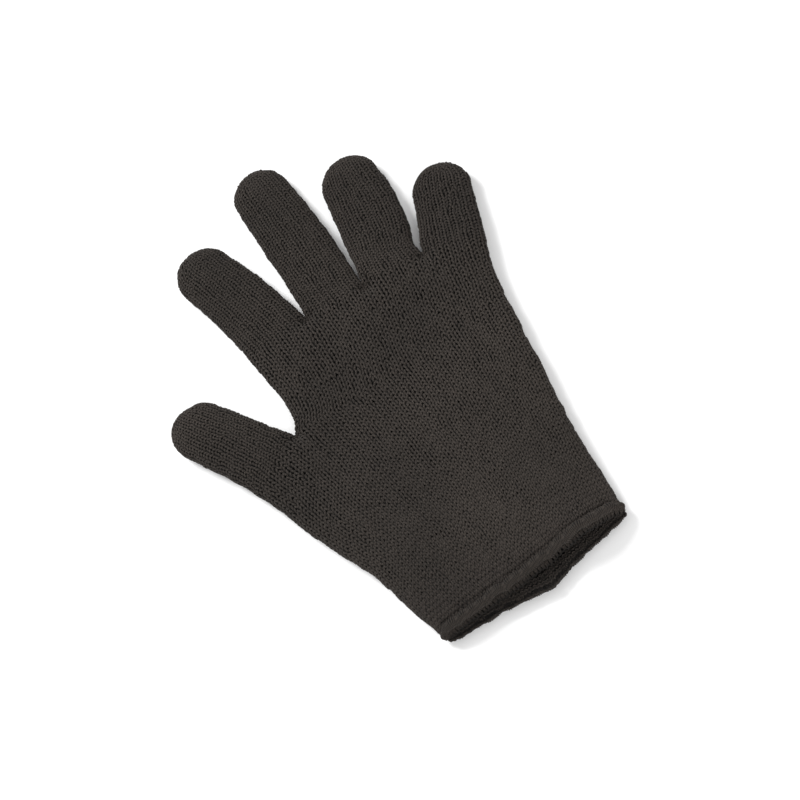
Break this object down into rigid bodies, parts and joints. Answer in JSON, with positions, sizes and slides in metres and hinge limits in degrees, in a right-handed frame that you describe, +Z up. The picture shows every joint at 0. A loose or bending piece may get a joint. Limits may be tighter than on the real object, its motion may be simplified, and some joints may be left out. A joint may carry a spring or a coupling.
{
  "type": "cut-resistant knitted glove",
  "caption": "Seamless machine-knitted cut-resistant work glove in dark charcoal yarn, with closed finger tubes, a long elastic cuff and a rolled, overlocked hem.",
  "frame": {"origin": "middle of the footprint of the glove as it lies flat, on the surface it lies on", "axes": "+Y from the cuff to the fingertips, +Z up out of the palm side, thumb towards -X"},
  "size_m": [0.1648, 0.239, 0.0148],
  "materials": {
    "knit_yarn": "matte, charcoal plied yarn in plain knit",
    "seam_thread": "matte, slightly finer charcoal thread",
    "elastic_thread": "matte covered elastic"
  },
  "bodies": {
    "palm": {"five_finger_palm": "knit_yarn", "four_finger_palm": "knit_yarn", "three_finger_palm": "knit_yarn"},
    "cuff": {"cuff": "knit_yarn", "hem_roll": "knit_yarn", "hem_overlock_thread": "seam_thread", "cuff_elastic_thread": "elastic_thread"},
    "index_base": {"index_base": "knit_yarn"},
    "index_middle": {"index_middle": "knit_yarn"},
    "index_tip": {"index_tip": "knit_yarn", "index_closing_seam": "seam_thread"},
    "middle_base": {"middle_base": "knit_yarn"},
    "middle_middle": {"middle_middle": "knit_yarn"},
    "middle_tip": {"middle_tip": "knit_yarn", "middle_closing_seam": "seam_thread"},
    "ring_base": {"ring_base": "knit_yarn"},
    "ring_middle": {"ring_middle": "knit_yarn"},
    "ring_tip": {"ring_tip": "knit_yarn", "ring_closing_seam": "seam_thread"},
    "little_base": {"little_base": "knit_yarn"},
    "little_middle": {"little_middle": "knit_yarn"},
    "little_tip": {"little_tip": "knit_yarn", "little_closing_seam": "seam_thread"},
    "thumb_base": {"thumb_base": "knit_yarn"},
    "thumb_tip": {"thumb_tip": "knit_yarn", "thumb_closing_seam": "seam_thread"}
  },
  "joints": [
    {"name": "wrist_bend", "type": "hinge", "parent": "palm", "child": "cuff", "pos_m": [0.00235, -0.06729, 0.011], "axis": [-1, 0, 0], "range_deg": [0, 60]},
    {"name": "index_base_bend", "type": "hinge", "parent": "palm", "child": "index_base", "pos_m": [-0.02225, 0.04241, 0.011], "axis": [1, 0, 0], "range_deg": [0, 85]},
    {"name": "index_middle_bend", "type": "hinge", "parent": "index_base", "child": "index_middle", "pos_m": [-0.02595, 0.06241, 0.00933], "axis": [1, 0, 0], "range_deg": [0, 90]},
    {"name": "index_tip_bend", "type": "hinge", "parent": "index_middle", "child": "index_tip", "pos_m": [-0.02975, 0.08191, 0.00907], "axis": [1, 0, 0], "range_deg": [0, 60]},
    {"name": "middle_base_bend", "type": "hinge", "parent": "palm", "child": "middle_base", "pos_m": [0.00615, 0.04241, 0.011], "axis": [1, 0, 0], "range_deg": [0, 85]},
    {"name": "middle_middle_bend", "type": "hinge", "parent": "middle_base", "child": "middle_middle", "pos_m": [0.00735, 0.06741, 0.00934], "axis": [1, 0, 0], "range_deg": [0, 90]},
    {"name": "middle_tip_bend", "type": "hinge", "parent": "middle_middle", "child": "middle_tip", "pos_m": [0.00795, 0.09241, 0.00908], "axis": [1, 0, 0], "range_deg": [0, 60]},
    {"name": "ring_base_bend", "type": "hinge", "parent": "palm", "child": "ring_base", "pos_m": [0.03415, 0.04241, 0.011], "axis": [1, 0, 0], "range_deg": [0, 85]},
    {"name": "ring_middle_bend", "type": "hinge", "parent": "ring_base", "child": "ring_middle", "pos_m": [0.03765, 0.06091, 0.00933], "axis": [1, 0, 0], "range_deg": [0, 90]},
    {"name": "ring_tip_bend", "type": "hinge", "parent": "ring_middle", "child": "ring_tip", "pos_m": [0.04105, 0.07841, 0.00907], "axis": [1, 0, 0], "range_deg": [0, 60]},
    {"name": "little_base_bend", "type": "hinge", "parent": "palm", "child": "little_base", "pos_m": [0.06195, 0.03541, 0.011], "axis": [1, 0, 0], "range_deg": [0, 85]},
    {"name": "little_middle_bend", "type": "hinge", "parent": "little_base", "child": "little_middle", "pos_m": [0.06565, 0.04491, 0.00937], "axis": [1, 0, 0], "range_deg": [0, 90]},
    {"name": "little_tip_bend", "type": "hinge", "parent": "little_middle", "child": "little_tip", "pos_m": [0.06985, 0.05421, 0.00913], "axis": [1, 0, 0], "range_deg": [0, 60]},
    {"name": "thumb_base_bend", "type": "hinge", "parent": "palm", "child": "thumb_base", "pos_m": [-0.05465, -0.00209, 0.011], "axis": [1, 0, 0], "range_deg": [0, 60]},
    {"name": "thumb_tip_bend", "type": "hinge", "parent": "thumb_base", "child": "thumb_tip", "pos_m": [-0.06385, 0.01641, 0.00925], "axis": [1, 0, 0], "range_deg": [0, 80]}
  ]
}
